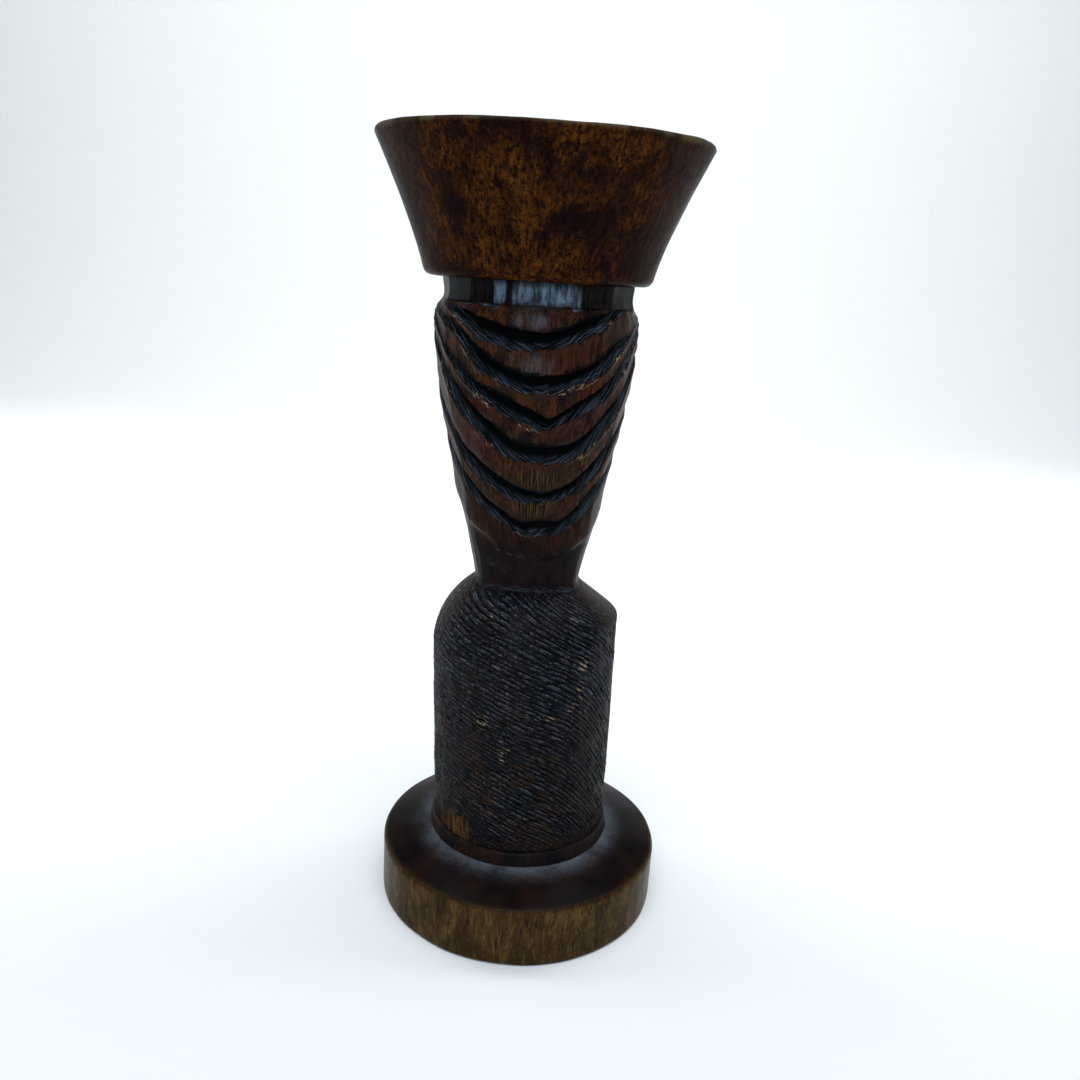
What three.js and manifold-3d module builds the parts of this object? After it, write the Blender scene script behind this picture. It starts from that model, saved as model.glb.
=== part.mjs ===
// A carved wooden headrest. A flared round headpiece stands on a column cut with seven hanging bands,
// then a block with two shoulders, a foot ring and a base disc. Each piece seats on the one below it
// and is held there by a round spigot turned in one with the upper or the lower piece.
// Millimetres, +Z up. The origin is the centre of the base's underside, and the front faces -Y.

import * as THREE from 'three';
import { mergeVertices } from 'three/addons/utils/BufferGeometryUtils.js';
import Module from 'manifold-3d';

// Clearances between neighbours
const SEAT_GAP = 0.3; // under each piece that stands on another
const SPIGOT_GAP = 0.3; // round a spigot and past its end

// The whole stack drifts to the left (-X) by this much for each millimetre of height
const LEAN = 0.0197;

// Base disc
const BASE_RADIUS = 38.5;
const BASE_EDGE = 16.3; // height of the upright edge
const BASE_CROWN = 3.5; // rise of the top from its edge to the ring's seat
const BASE_ROUNDING = 1.8; // of the upper edge
const BASE_CHAMFER = 0.8; // of the lower edge
const SEAT_MARGIN = 0.6; // flat seat left showing round the foot ring

// Foot ring
const RING_HEIGHT = 3.1;
const RING_PROUD = 1.2; // how far it stands out from the block
const RING_ROUNDING = 0.8;

// Hatched block
const BLOCK_HEIGHT = 67.5;
const BLOCK_FOOT_RADIUS = 23.7;
const BLOCK_BELLY_RADIUS = 24.7;
const BLOCK_LEDGE = 1.4; // flat top left showing round the column's foot
const ROUNDED_SHOULDER = 17; // height of the worn shoulder, front, left and back
const CHAMFERED_SHOULDER = 7.7; // height of the straight cut on the right

// Carved column
const COLUMN_HEIGHT = 76.4;
const WAIST_RADIUS = 13.6;
const SHOULDER_RADIUS = 25.3;
const NECK_SET_BACK = 1.8; // from the shoulder in to the neck
const APRON_STEP = 1.2; // how far the lowest band stands out from the waist
const GROOVE_WALL = 0.8; // drop from a band's lip to the floor of the groove under it

// Headpiece
const HEAD_HEIGHT = 32;
const HEAD_OVERHANG = 4.3; // from the neck out to the headpiece's lower edge
const HEAD_CHAMFER = 0.6; // of the lower edge
const RIM_RADIUS = 40;
const RIM_ROUNDING = 1.2; // of the rim, between the flare and the dish
const RIM_SADDLE = 1.1; // how much lower the rim is at the front and back than at the sides
const DISH_DEPTH = 3.5;

// Spigots: the column has one at each end, and the block's goes through the ring into the base
const WAIST_SPIGOT_RADIUS = 7;
const WAIST_SPIGOT_LENGTH = 14;
const NECK_SPIGOT_RADIUS = 11;
const NECK_SPIGOT_LENGTH = 14;
const BLOCK_SPIGOT_RADIUS = 10;
const BLOCK_SPIGOT_IN_BASE = 9; // its length below the ring
const OVERCUT = 1; // how far a spigot starts inside its piece, and a cutter runs past the face

// Facets round a piece, and steps along a curved edge
const FACETS = 48;
const EDGE_STEPS = 3;
const FLARE_STEPS = 6;
const DISH_STEPS = 5;

// The carved lines cross the front from the left side (-90 degrees) to the right side (+90 degrees)
// in even steps, and the back is their mirror image. Heights are shares of the column's height.
const APRON_LINE = [0.343, 0.274, 0.219, 0.169, 0.132, 0.122, 0.132, 0.171, 0.211, 0.258];
// From the lowest groove up. width is a groove's height where it is widest, and reach is the angle
// from the front where it runs out.
const GROOVES = [
  {
    lip: [0.598, 0.475, 0.381, 0.313, 0.258, 0.263, 0.266, 0.363, 0.437, 0.539],
    width: 4.0,
    depth: 1.9,
    reach: 110,
  },
  {
    lip: [0.749, 0.616, 0.493, 0.433, 0.385, 0.366, 0.398, 0.479, 0.577, 0.683],
    width: 4.0,
    depth: 2.3,
    reach: 110,
  },
  {
    lip: [0.893, 0.797, 0.686, 0.599, 0.529, 0.518, 0.538, 0.634, 0.733, 0.84],
    width: 4.7,
    depth: 2.9,
    reach: 110,
  },
  {
    lip: [0.928, 0.87, 0.767, 0.695, 0.654, 0.611, 0.671, 0.746, 0.839, 0.91],
    width: 4.0,
    depth: 2.9,
    reach: 105,
  },
  {
    lip: [0.938, 0.912, 0.87, 0.797, 0.743, 0.74, 0.768, 0.84, 0.884, 0.925],
    width: 4.3,
    depth: 3.1,
    reach: 78,
  },
  {
    lip: [0.946, 0.941, 0.923, 0.899, 0.87, 0.868, 0.908, 0.932, 0.944, 0.949],
    width: 4.5,
    depth: 3.1,
    reach: 64,
  },
];
const FADE_ANGLE = 34; // a groove grows from nothing to its full depth over this many degrees
const LEAST_ROW = 0.25; // least height between two lines where they crowd together at the sides
const SHOULDER_SHARE = 0.9; // height of the widest part of the column, as a share of its height
const NECK_SHARE = 0.965; // height where the neck starts

// How full the curved outlines are
const COLUMN_SWELL = 1.25; // over 1 keeps the waist slender for longer
const FLARE_HOLLOW = 1.2; // over 1 makes the headpiece's flare hollow
const SHOULDER_FULLNESS = 1.9; // over 1 keeps the block's rounded shoulder wide for longer
const SHOULDER_EDGE = 0.8; // under 1 makes it meet its flat top more steeply

const NECK_RADIUS = SHOULDER_RADIUS - NECK_SET_BACK;
const HEAD_FOOT_RADIUS = NECK_RADIUS + HEAD_OVERHANG;
const RING_RADIUS = BLOCK_FOOT_RADIUS + RING_PROUD;
const BLOCK_TOP_RADIUS = WAIST_RADIUS + BLOCK_LEDGE;

// Heights of the underside of each piece
const BASE_TOP = BASE_EDGE + BASE_CROWN;
const RING_SEAT = BASE_TOP + SEAT_GAP;
const BLOCK_SEAT = RING_SEAT + RING_HEIGHT + SEAT_GAP;
const COLUMN_SEAT = BLOCK_SEAT + BLOCK_HEIGHT + SEAT_GAP;
const HEAD_SEAT = COLUMN_SEAT + COLUMN_HEIGHT + SEAT_GAP;

const wasm = await Module();
wasm.setup();

const degrees = THREE.MathUtils.degToRad;
const mix = THREE.MathUtils.lerp;
const smooth = THREE.MathUtils.smoothstep;

// A closed geometry as a solid that can be cut and joined
function solid(geometry) {
  geometry.deleteAttribute('normal');
  geometry.deleteAttribute('uv');
  const merged = mergeVertices(geometry);
  const corners = Array.from(merged.index.array);
  const triVerts = [];
  for (let i = 0; i < corners.length; i += 3) {
    const [a, b, c] = corners.slice(i, i + 3);
    if (a !== b && b !== c && c !== a) triVerts.push(a, b, c);
  }
  return new wasm.Manifold(
    new wasm.Mesh({
      numProp: 3,
      vertProperties: merged.attributes.position.array,
      triVerts: new Uint32Array(triVerts),
    }),
  );
}

// A turned body. The outline runs from the axis at the bottom to the axis at the top, and place
// moves each of its points: it gets the angle from the front towards +X, the point and its row.
function turned(outline, place = (angle, point) => ({ radius: point.x, height: point.y })) {
  const geometry = new THREE.LatheGeometry(outline, FACETS);
  const position = geometry.attributes.position;
  for (let i = 0; i < position.count; i++) {
    const row = i % outline.length;
    const column = Math.floor(i / outline.length) % FACETS;
    const angle = (column / FACETS) * 2 * Math.PI;
    const { radius, height, shift = 0 } = place(angle, outline[row], row);
    position.setXYZ(i, shift + radius * Math.sin(angle), -radius * Math.cos(angle), height);
  }
  return solid(geometry);
}

// An upright round peg or hole between two heights
function peg(radius, low, high, shift = 0) {
  const geometry = new THREE.CylinderGeometry(radius, radius, high - low, FACETS);
  geometry.rotateX(Math.PI / 2);
  geometry.translate(shift, 0, (low + high) / 2);
  return solid(geometry);
}

// Points of a round edge, which turns from one direction to another (degrees from straight out)
function roundEdge(x, y, radius, from, to) {
  const points = [];
  for (let i = 0; i <= EDGE_STEPS; i++) {
    const turn = degrees(mix(from, to, i / EDGE_STEPS));
    points.push(new THREE.Vector2(x + radius * Math.cos(turn), y + radius * Math.sin(turn)));
  }
  return points;
}

function piece(name, body, seat, color, roughness) {
  const { vertProperties, triVerts } = body.getMesh();
  const geometry = new THREE.BufferGeometry();
  geometry.setAttribute('position', new THREE.BufferAttribute(vertProperties, 3));
  geometry.setIndex(new THREE.BufferAttribute(triVerts, 1));
  geometry.computeVertexNormals();
  const material = new THREE.MeshStandardMaterial({ color, roughness, metalness: 0 });
  const mesh = new THREE.Mesh(geometry, material);
  mesh.name = name;
  mesh.position.set(-LEAN * seat, 0, seat);
  return mesh;
}

// Base disc: upright edge, rounded upper edge, and a top that rises gently to the ring's flat seat
function baseDisc() {
  const seatRadius = RING_RADIUS + SEAT_MARGIN;
  const edgeRadius = BASE_RADIUS - BASE_ROUNDING;
  const slope = THREE.MathUtils.radToDeg(Math.atan2(BASE_CROWN, BASE_RADIUS - seatRadius));
  const outline = [
    new THREE.Vector2(0, 0),
    new THREE.Vector2(BASE_RADIUS - BASE_CHAMFER, 0),
    new THREE.Vector2(BASE_RADIUS, BASE_CHAMFER),
    ...roundEdge(edgeRadius, BASE_EDGE - BASE_ROUNDING, BASE_ROUNDING, 0, 90 - slope),
    new THREE.Vector2(seatRadius, BASE_TOP),
    new THREE.Vector2(0, BASE_TOP),
  ];
  const socket = peg(
    BLOCK_SPIGOT_RADIUS + SPIGOT_GAP,
    BASE_TOP - BLOCK_SPIGOT_IN_BASE - SPIGOT_GAP,
    BASE_TOP + OVERCUT,
    -LEAN * BASE_TOP,
  );
  return turned(outline).subtract(socket);
}

// Foot ring: a low polished band that the block's spigot passes through
function footRing() {
  const outline = [
    new THREE.Vector2(0, 0),
    new THREE.Vector2(RING_RADIUS, 0),
    ...roundEdge(RING_RADIUS - RING_ROUNDING, RING_HEIGHT - RING_ROUNDING, RING_ROUNDING, 0, 90),
    new THREE.Vector2(0, RING_HEIGHT),
  ];
  const bore = peg(BLOCK_SPIGOT_RADIUS + SPIGOT_GAP, -OVERCUT, RING_HEIGHT + OVERCUT);
  return turned(outline).subtract(bore);
}

// The block's radius at a height: a slight belly, then the shoulder, which is rounded everywhere
// but on the right (+X), where it is one straight chamfer
function blockRadius(angle, height) {
  const belly = mix(BLOCK_FOOT_RADIUS, BLOCK_BELLY_RADIUS, Math.sqrt(height / BLOCK_HEIGHT));
  const drop = BLOCK_HEIGHT - height;
  const round = Math.max(0, 1 - drop / ROUNDED_SHOULDER);
  const worn = (1 - round ** SHOULDER_FULLNESS) ** SHOULDER_EDGE;
  const rounded = mix(BLOCK_TOP_RADIUS, belly, worn);
  const chamfered = mix(BLOCK_TOP_RADIUS, belly, Math.min(1, drop / CHAMFERED_SHOULDER));
  return mix(rounded, chamfered, smooth(Math.sin(angle), 0.5, 0.85));
}

// Hatched block: knife-hatched over most of its face, with a shoulder under the column's foot.
// Its foot spigot passes through the ring into the base, and its top takes the column's spigot.
function hatchedBlock() {
  const shoulder = Math.max(ROUNDED_SHOULDER, CHAMFERED_SHOULDER);
  const heights = [0, 0.25, 0.5, 0.75].map((share) => share * (BLOCK_HEIGHT - shoulder));
  const stops = [0, 0.2, 0.4, 1 - CHAMFERED_SHOULDER / shoulder, 0.7, 0.84, 0.93, 1];
  heights.push(...stops.map((share) => BLOCK_HEIGHT - shoulder * (1 - share)));
  const outline = [new THREE.Vector2(0, 0)];
  outline.push(...heights.map((height) => new THREE.Vector2(1, height)));
  outline.push(new THREE.Vector2(0, BLOCK_HEIGHT));
  const body = turned(outline, (angle, point) => ({
    radius: point.x && blockRadius(angle, point.y),
    height: point.y,
    shift: -LEAN * point.y,
  }));
  const spigotEnd = BASE_TOP - BLOCK_SPIGOT_IN_BASE - BLOCK_SEAT;
  const spigot = peg(BLOCK_SPIGOT_RADIUS, spigotEnd, OVERCUT);
  const socket = peg(
    WAIST_SPIGOT_RADIUS + SPIGOT_GAP,
    BLOCK_HEIGHT - WAIST_SPIGOT_LENGTH - SPIGOT_GAP,
    BLOCK_HEIGHT + OVERCUT,
    -LEAN * BLOCK_HEIGHT,
  );
  return body.add(spigot).subtract(socket);
}

// Height of a carved line at an angle from the front
function lineHeight(line, angle) {
  const across = Math.atan2(Math.sin(angle), Math.abs(Math.cos(angle)));
  const curve = new THREE.SplineCurve(line.map((share, i) => new THREE.Vector2(i, share)));
  return curve.getPoint(across / Math.PI + 0.5).y * COLUMN_HEIGHT;
}

// How much of a groove's full depth it has at an angle
function grooveShare(groove, angle) {
  const across = Math.asin(Math.abs(Math.sin(angle)));
  return smooth(degrees(groove.reach) - across, 0, degrees(FADE_ANGLE));
}

// The column's radius before it is carved
function columnRadius(height) {
  const share = height / COLUMN_HEIGHT;
  const rise = Math.sin((Math.PI / 2) * Math.min(1, share / SHOULDER_SHARE)) ** COLUMN_SWELL;
  const swell = mix(WAIST_RADIUS, SHOULDER_RADIUS, rise);
  return swell - NECK_SET_BACK * smooth(share, SHOULDER_SHARE, NECK_SHARE);
}

// The rows of the column at an angle, from the foot up: height, and how far in from the radius
function columnRows(angle) {
  const apron = lineHeight(APRON_LINE, angle);
  const rows = [
    { height: 0, inset: 0 },
    { height: apron / 2, inset: 0 },
    { height: apron - APRON_STEP, inset: 0 },
    { height: apron, inset: -APRON_STEP },
  ];
  for (const groove of GROOVES) {
    const lip = lineHeight(groove.lip, angle);
    const share = grooveShare(groove, angle);
    rows.push({ height: lip - mix(2 * LEAST_ROW, groove.width, share), inset: 0 });
    rows.push({ height: lip - mix(LEAST_ROW, GROOVE_WALL, share), inset: groove.depth * share });
    rows.push({ height: lip, inset: 0 });
  }
  rows.push({ height: NECK_SHARE * COLUMN_HEIGHT, inset: 0 });
  rows.push({ height: COLUMN_HEIGHT, inset: 0 });
  for (let i = 1; i < rows.length; i++) {
    rows[i].height = Math.max(rows[i].height, rows[i - 1].height + LEAST_ROW);
  }
  return rows;
}

// Carved column: bands like hanging cloth, each undercut by a groove, over a slender waist
function carvedColumn() {
  const rowCount = columnRows(0).length;
  const outline = [new THREE.Vector2(0, 0)];
  for (let i = 0; i < rowCount; i++) outline.push(new THREE.Vector2(1, i));
  outline.push(new THREE.Vector2(0, COLUMN_HEIGHT));
  const body = turned(outline, (angle, point, row) => {
    if (point.x === 0) return { radius: 0, height: point.y, shift: -LEAN * point.y };
    const { height, inset } = columnRows(angle)[row - 1];
    return { radius: columnRadius(height) - inset, height, shift: -LEAN * height };
  });
  const waistSpigot = peg(WAIST_SPIGOT_RADIUS, -WAIST_SPIGOT_LENGTH, OVERCUT);
  const neckSpigot = peg(
    NECK_SPIGOT_RADIUS,
    COLUMN_HEIGHT - OVERCUT,
    COLUMN_HEIGHT + NECK_SPIGOT_LENGTH,
    -LEAN * COLUMN_HEIGHT,
  );
  return body.add(waistSpigot).add(neckSpigot);
}

// Headpiece: a flared round rest with a rounded rim, a shallow dish and a slightly saddled rim line
function headpiece() {
  const outline = [new THREE.Vector2(0, 0), new THREE.Vector2(HEAD_FOOT_RADIUS - HEAD_CHAMFER, 0)];
  const rimHeight = HEAD_HEIGHT - RIM_ROUNDING;
  for (let i = 0; i <= FLARE_STEPS; i++) {
    const share = i / FLARE_STEPS;
    const radius = mix(HEAD_FOOT_RADIUS, RIM_RADIUS, share ** FLARE_HOLLOW);
    outline.push(new THREE.Vector2(radius, mix(HEAD_CHAMFER, rimHeight, share)));
  }
  outline.push(...roundEdge(RIM_RADIUS - RIM_ROUNDING, rimHeight, RIM_ROUNDING, 30, 90));
  for (let i = 1; i <= DISH_STEPS; i++) {
    const share = 1 - i / DISH_STEPS;
    const sink = DISH_DEPTH * (1 - share ** 2);
    outline.push(new THREE.Vector2((RIM_RADIUS - RIM_ROUNDING) * share, HEAD_HEIGHT - sink));
  }
  const body = turned(outline, (angle, { x, y }) => {
    const saddle = RIM_SADDLE * Math.cos(angle) ** 2 * (x / RIM_RADIUS) ** 2 * (y / HEAD_HEIGHT);
    return { radius: x, height: y - saddle };
  });
  const socket = peg(NECK_SPIGOT_RADIUS + SPIGOT_GAP, -OVERCUT, NECK_SPIGOT_LENGTH + SPIGOT_GAP);
  return body.subtract(socket);
}

const headrest = new THREE.Group();
headrest.add(piece('base_disc', baseDisc(), 0, 0x6b4e2c, 0.45));
headrest.add(piece('foot_ring', footRing(), RING_SEAT, 0x3c2016, 0.4));
headrest.add(piece('hatched_block', hatchedBlock(), BLOCK_SEAT, 0x241c1c, 0.6));
headrest.add(piece('carved_column', carvedColumn(), COLUMN_SEAT, 0x3a221a, 0.5));
headrest.add(piece('headpiece', headpiece(), HEAD_SEAT, 0x4a2415, 0.35));

export default headrest;
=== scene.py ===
"""Looks of a carved wooden headrest: a polished flared rest, a column of hanging bands cut by black
grooves, a block hatched with a knife, a foot ring and a straight-grained base. Metres, +Z up."""

import math

import bpy
import numpy as np
from mathutils import Matrix, Vector


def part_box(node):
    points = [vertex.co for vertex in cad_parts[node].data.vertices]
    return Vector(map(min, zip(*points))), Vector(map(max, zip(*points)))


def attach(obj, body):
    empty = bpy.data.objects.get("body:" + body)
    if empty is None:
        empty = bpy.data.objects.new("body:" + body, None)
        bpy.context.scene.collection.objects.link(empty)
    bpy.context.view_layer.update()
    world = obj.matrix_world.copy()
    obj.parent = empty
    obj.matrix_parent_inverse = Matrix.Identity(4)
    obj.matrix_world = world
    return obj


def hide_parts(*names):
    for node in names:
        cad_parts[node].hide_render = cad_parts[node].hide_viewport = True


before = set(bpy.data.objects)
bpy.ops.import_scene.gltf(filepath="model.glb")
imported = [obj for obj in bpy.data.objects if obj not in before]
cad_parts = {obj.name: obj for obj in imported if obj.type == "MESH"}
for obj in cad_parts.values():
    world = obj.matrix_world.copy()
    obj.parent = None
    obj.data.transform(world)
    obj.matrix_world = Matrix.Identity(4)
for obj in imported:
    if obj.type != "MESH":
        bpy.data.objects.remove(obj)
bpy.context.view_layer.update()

MM = 0.001
FULL_TURN = 2 * math.pi

# ---------------- sizes taken from the frame, in mm


def box_mm(node):
    """A CAD node's lowest and highest corners in millimetres."""
    low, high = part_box(node)
    return np.array(low) / MM, np.array(high) / MM


base_low, base_high = box_mm("base_disc")
ring_low, ring_high = box_mm("foot_ring")
head_low, head_high = box_mm("headpiece")

SEAM = 0.12  # fine dark line left between two pieces
BASE_RADIUS = (base_high[0] - base_low[0]) / 2
BASE_TOP = base_high[2]
RING_RADIUS = (ring_high[0] - ring_low[0]) / 2
RING_TOP = ring_high[2]
BLOCK_FOOT = RING_TOP + SEAM
BLOCK_TOP = box_mm("hatched_block")[1][2]
COLUMN_FOOT = BLOCK_TOP + SEAM
HEAD_FOOT = head_low[2]
COLUMN_TOP = HEAD_FOOT - SEAM
RIM_HEIGHT = head_high[2]
RIM_RADIUS = (head_high[0] - head_low[0]) / 2
HEAD_CENTRE = (head_high[0] + head_low[0]) / 2
LEAN = HEAD_CENTRE / HEAD_FOOT  # drift towards -X for each millimetre of height


# ---------------- camera, light and floor


def place_camera():
    """Stands close in front of the piece, looking a little down, with a slight tilt."""
    data = bpy.data.cameras.new("camera")
    data.lens = 31.0
    data.sensor_width = 36.0
    data.clip_start = 0.01
    camera = bpy.data.objects.new("camera", data)
    bpy.context.collection.objects.link(camera)
    turn = Matrix.Rotation(math.radians(-0.25), 4, "Z")
    look_down = Matrix.Rotation(math.radians(90 - 15.82), 4, "X")
    tilt = Matrix.Rotation(math.radians(3.49), 4, "Z")
    place = Matrix.Translation((0, -0.2366, 0.1692))
    camera.matrix_world = place @ turn @ look_down @ tilt
    bpy.context.scene.camera = camera


def add_softbox(name, place, target, width, height, power, colour):
    """A rectangular area light at a place, turned towards a target."""
    data = bpy.data.lights.new(name, "AREA")
    data.shape = "RECTANGLE"
    data.size = width
    data.size_y = height
    data.energy = power
    data.color = colour
    light = bpy.data.objects.new(name, data)
    bpy.context.collection.objects.link(light)
    back = Vector(place) - Vector(target)
    light.matrix_world = Matrix.Translation(place) @ back.to_track_quat("Z", "Y").to_matrix().to_4x4()


def light_studio():
    world = bpy.data.worlds.new("studio")
    bpy.context.scene.world = world
    world.use_nodes = True
    background = world.node_tree.nodes["Background"]
    background.inputs["Color"].default_value = (0.85, 0.93, 1.0, 1)
    background.inputs["Strength"].default_value = 0.16
    add_softbox("overhead", (0.03, -0.28, 1.10), (0, 0.02, 0.05), 0.9, 0.6, 8.0, (0.86, 0.93, 1.0))
    add_softbox("front_window", (-0.05, -0.97, 0.41), (0, 0, 0.15), 0.5, 0.28, 2.6, (0.74, 0.87, 1.0))
    add_softbox("backdrop_light", (0, 0.25, 0.85), (0, 1.0, 0.2), 1.8, 0.5, 13.0, (0.95, 0.98, 1.0))
    add_softbox("left_panel", (-0.75, 0.35, 0.3), (0, 0, 0.1), 0.5, 0.6, 1.2, (0.93, 1.0, 0.94))
    add_softbox("right_panel", (0.75, 0.3, 0.3), (0, 0, 0.1), 0.5, 0.6, 1.2, (0.95, 1.0, 0.95))


def lay_floor():
    """A pale sheet that lies flat under the piece and curves up far behind it."""
    bend_steps = 12
    step_length = 0.07
    wall_height = 0.25
    deselect_all()
    bpy.ops.mesh.primitive_plane_add(size=1, location=(0, -0.6, 0))
    floor = bpy.context.object
    floor.name = "floor"
    floor.scale = (8, 2.8, 1)
    bpy.ops.object.transform_apply(location=True, rotation=True, scale=True)
    depths = read_points(floor)[:, 1]
    select_points(floor, depths > depths.max() - 1e-6)
    bpy.ops.mesh.select_mode(type="EDGE")
    for i in range(bend_steps):
        climb = (i + 0.5) / bend_steps * math.pi / 2
        step = (0, step_length * math.cos(climb), step_length * math.sin(climb))
        bpy.ops.mesh.extrude_region_move(TRANSFORM_OT_translate={"value": step})
    bpy.ops.mesh.extrude_region_move(TRANSFORM_OT_translate={"value": (0, 0, wall_height)})
    bpy.ops.object.mode_set(mode="OBJECT")
    bpy.ops.object.shade_smooth()
    material = new_material("pale_paper")
    shader = material.node_tree.nodes["Principled BSDF"]
    shader.inputs["Base Color"].default_value = (0.86, 0.87, 0.87, 1)
    shader.inputs["Roughness"].default_value = 0.9
    shader.inputs["Specular IOR Level"].default_value = 0.1
    floor.data.materials.append(material)


# ---------------- bench tools


def deselect_all():
    if bpy.context.object and bpy.context.object.mode != "OBJECT":
        bpy.ops.object.mode_set(mode="OBJECT")
    bpy.ops.object.select_all(action="DESELECT")


def work_on(piece):
    """Makes a piece the only selected one."""
    deselect_all()
    bpy.context.view_layer.objects.active = piece
    piece.select_set(True)


def select_points(piece, picked):
    """Opens a piece in edit mode with only the picked vertices selected."""
    work_on(piece)
    bpy.ops.object.mode_set(mode="EDIT")
    bpy.ops.mesh.select_mode(type="VERT")
    bpy.ops.mesh.select_all(action="DESELECT")
    bpy.ops.object.mode_set(mode="OBJECT")
    piece.data.vertices.foreach_set("select", picked)
    bpy.ops.object.mode_set(mode="EDIT")


def close_pole(centre, height):
    """Closes the selected ring with a flat cap that ends in one point on the axis."""
    bpy.ops.mesh.extrude_region_move()
    middle = (centre * MM, 0, height * MM)
    bpy.ops.transform.resize(value=(0.5, 0.5, 1), center_override=middle)
    bpy.ops.mesh.extrude_region_move()
    bpy.ops.mesh.merge(type="CENTER")


def face_outwards():
    """In edit mode: turns every face outwards, then leaves edit mode."""
    bpy.ops.mesh.select_all(action="SELECT")
    bpy.ops.mesh.normals_make_consistent(inside=False)
    bpy.ops.object.mode_set(mode="OBJECT")


def turn_on_lathe(name, outline, centre, sides):
    """Turns an outline of (radius, height) points in mm about an upright axis at x = centre."""
    deselect_all()
    radius, height = outline[0]
    start = (centre * MM, 0, height * MM)
    bpy.ops.mesh.primitive_circle_add(vertices=sides, radius=radius * MM, location=start)
    piece = bpy.context.object
    piece.name = piece.data.name = name
    bpy.ops.object.transform_apply(location=True, rotation=True, scale=True)
    bpy.ops.object.mode_set(mode="EDIT")
    bpy.ops.mesh.select_mode(type="VERT")
    bpy.ops.mesh.select_all(action="SELECT")
    close_pole(centre, height)
    bpy.ops.object.mode_set(mode="OBJECT")
    points = read_points(piece)
    reach = np.hypot(points[:, 0] - centre * MM, points[:, 1])
    select_points(piece, np.abs(reach - radius * MM) < 1e-6)
    for (before, low), (after, high) in zip(outline, outline[1:]):
        bpy.ops.mesh.extrude_region_move(TRANSFORM_OT_translate={"value": (0, 0, (high - low) * MM)})
        grow = after / before
        bpy.ops.transform.resize(value=(grow, grow, 1), center_override=(centre * MM, 0, high * MM))
    close_pole(centre, outline[-1][1])
    bpy.ops.mesh.select_all(action="SELECT")
    bpy.ops.mesh.remove_doubles(threshold=0.001 * MM)
    face_outwards()
    return piece


def arc(x, y, radius, start, end, steps):
    """Points of a round edge, from one direction to another in degrees."""
    turns = np.radians(np.linspace(start, end, steps))
    return [(x + radius * math.cos(t), y + radius * math.sin(t)) for t in turns]


MOST_CUTS = 100  # an edge can't be cut in more places at once


def lay_grid(name, sides, rows):
    """An open tube of even rings. Returns the piece with each vertex's column and row. Where there are
    more rows than rings that can be cut, the rings are spread evenly over the rows and skip the rest."""
    deselect_all()
    bpy.ops.mesh.primitive_cylinder_add(vertices=sides, radius=1, depth=1, end_fill_type="NOTHING")
    piece = bpy.context.object
    piece.name = piece.data.name = name
    bpy.ops.object.mode_set(mode="EDIT")
    bpy.ops.mesh.select_mode(type="EDGE")
    bpy.ops.mesh.select_all(action="DESELECT")
    bpy.ops.object.mode_set(mode="OBJECT")
    corners = piece.data.vertices
    for edge in piece.data.edges:
        start, end = (corners[i].co.z for i in edge.vertices)
        edge.select = abs(end - start) > 0.5
    bpy.ops.object.mode_set(mode="EDIT")
    bpy.ops.mesh.subdivide(number_cuts=min(rows - 2, MOST_CUTS))
    bpy.ops.object.mode_set(mode="OBJECT")
    places = read_points(piece)
    angle = np.arctan2(places[:, 0], -places[:, 1]) % FULL_TURN
    column = np.rint(angle / FULL_TURN * sides).astype(int) % sides
    row = np.rint((places[:, 2] + 0.5) * (rows - 1)).astype(int)
    return piece, column, row


def read_points(piece):
    points = np.empty(len(piece.data.vertices) * 3, np.float32)
    piece.data.vertices.foreach_get("co", points)
    return points.reshape(-1, 3).astype(float)


def write_points(piece, points):
    piece.data.vertices.foreach_set("co", points.astype(np.float32).ravel())
    piece.data.update()


def close_ends(piece, row, points):
    """Writes the points of a grid piece, in mm, and closes its two ends."""
    write_points(piece, points * MM)
    for end in (row.min(), row.max()):
        picked = np.zeros(len(piece.data.vertices), bool)
        picked[: len(row)] = row == end
        select_points(piece, picked)
        height = points[row == end][:, 2].mean()
        close_pole(LEAN * height, height)
        bpy.ops.object.mode_set(mode="OBJECT")
    bpy.ops.object.mode_set(mode="EDIT")
    face_outwards()


def write_marks(piece, name, columns):
    """Stores up to four numbers for each vertex as a colour attribute that the finish reads."""
    marks = np.zeros((len(piece.data.vertices), 4), np.float32)
    for channel, values in enumerate(columns):
        marks[: len(values), channel] = values
    layer = piece.data.color_attributes.new(name, "FLOAT_COLOR", "POINT")
    layer.data.foreach_set("color", marks.ravel())


def write_way(piece, name, ways):
    """Stores a vector for each vertex, which a pattern follows over the surface."""
    vectors = np.zeros((len(piece.data.vertices), 3), np.float32)
    vectors[: len(ways)] = ways
    layer = piece.data.attributes.new(name, "FLOAT_VECTOR", "POINT")
    layer.data.foreach_set("vector", vectors.ravel())


def roughen(piece, name, size, strength):
    """Gives a turned piece the slight unevenness of hand work."""
    clouds = bpy.data.textures.new(name, "CLOUDS")
    clouds.noise_scale = size * MM
    clouds.noise_depth = 1
    work_on(piece)
    displace = piece.modifiers.new(name, "DISPLACE")
    displace.texture = clouds
    displace.texture_coords = "LOCAL"
    displace.strength = strength * MM
    displace.mid_level = 0.5
    bpy.ops.object.modifier_apply(modifier=displace.name)


def finish_piece(piece, material, node):
    """Gives a finished piece its material, hangs it on the root body and hides the CAD node it stands for."""
    piece.data.materials.clear()
    piece.data.materials.append(material)
    work_on(piece)
    bpy.ops.object.shade_smooth_by_angle(angle=math.radians(50))
    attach(piece, "root")
    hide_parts(node)


# ---------------- hand-made irregularity


def ease(value, start, end):
    """0 before start, 1 after end, and smooth between."""
    share = np.clip((value - start) / (end - start), 0, 1)
    return share * share * (3 - 2 * share)


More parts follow.
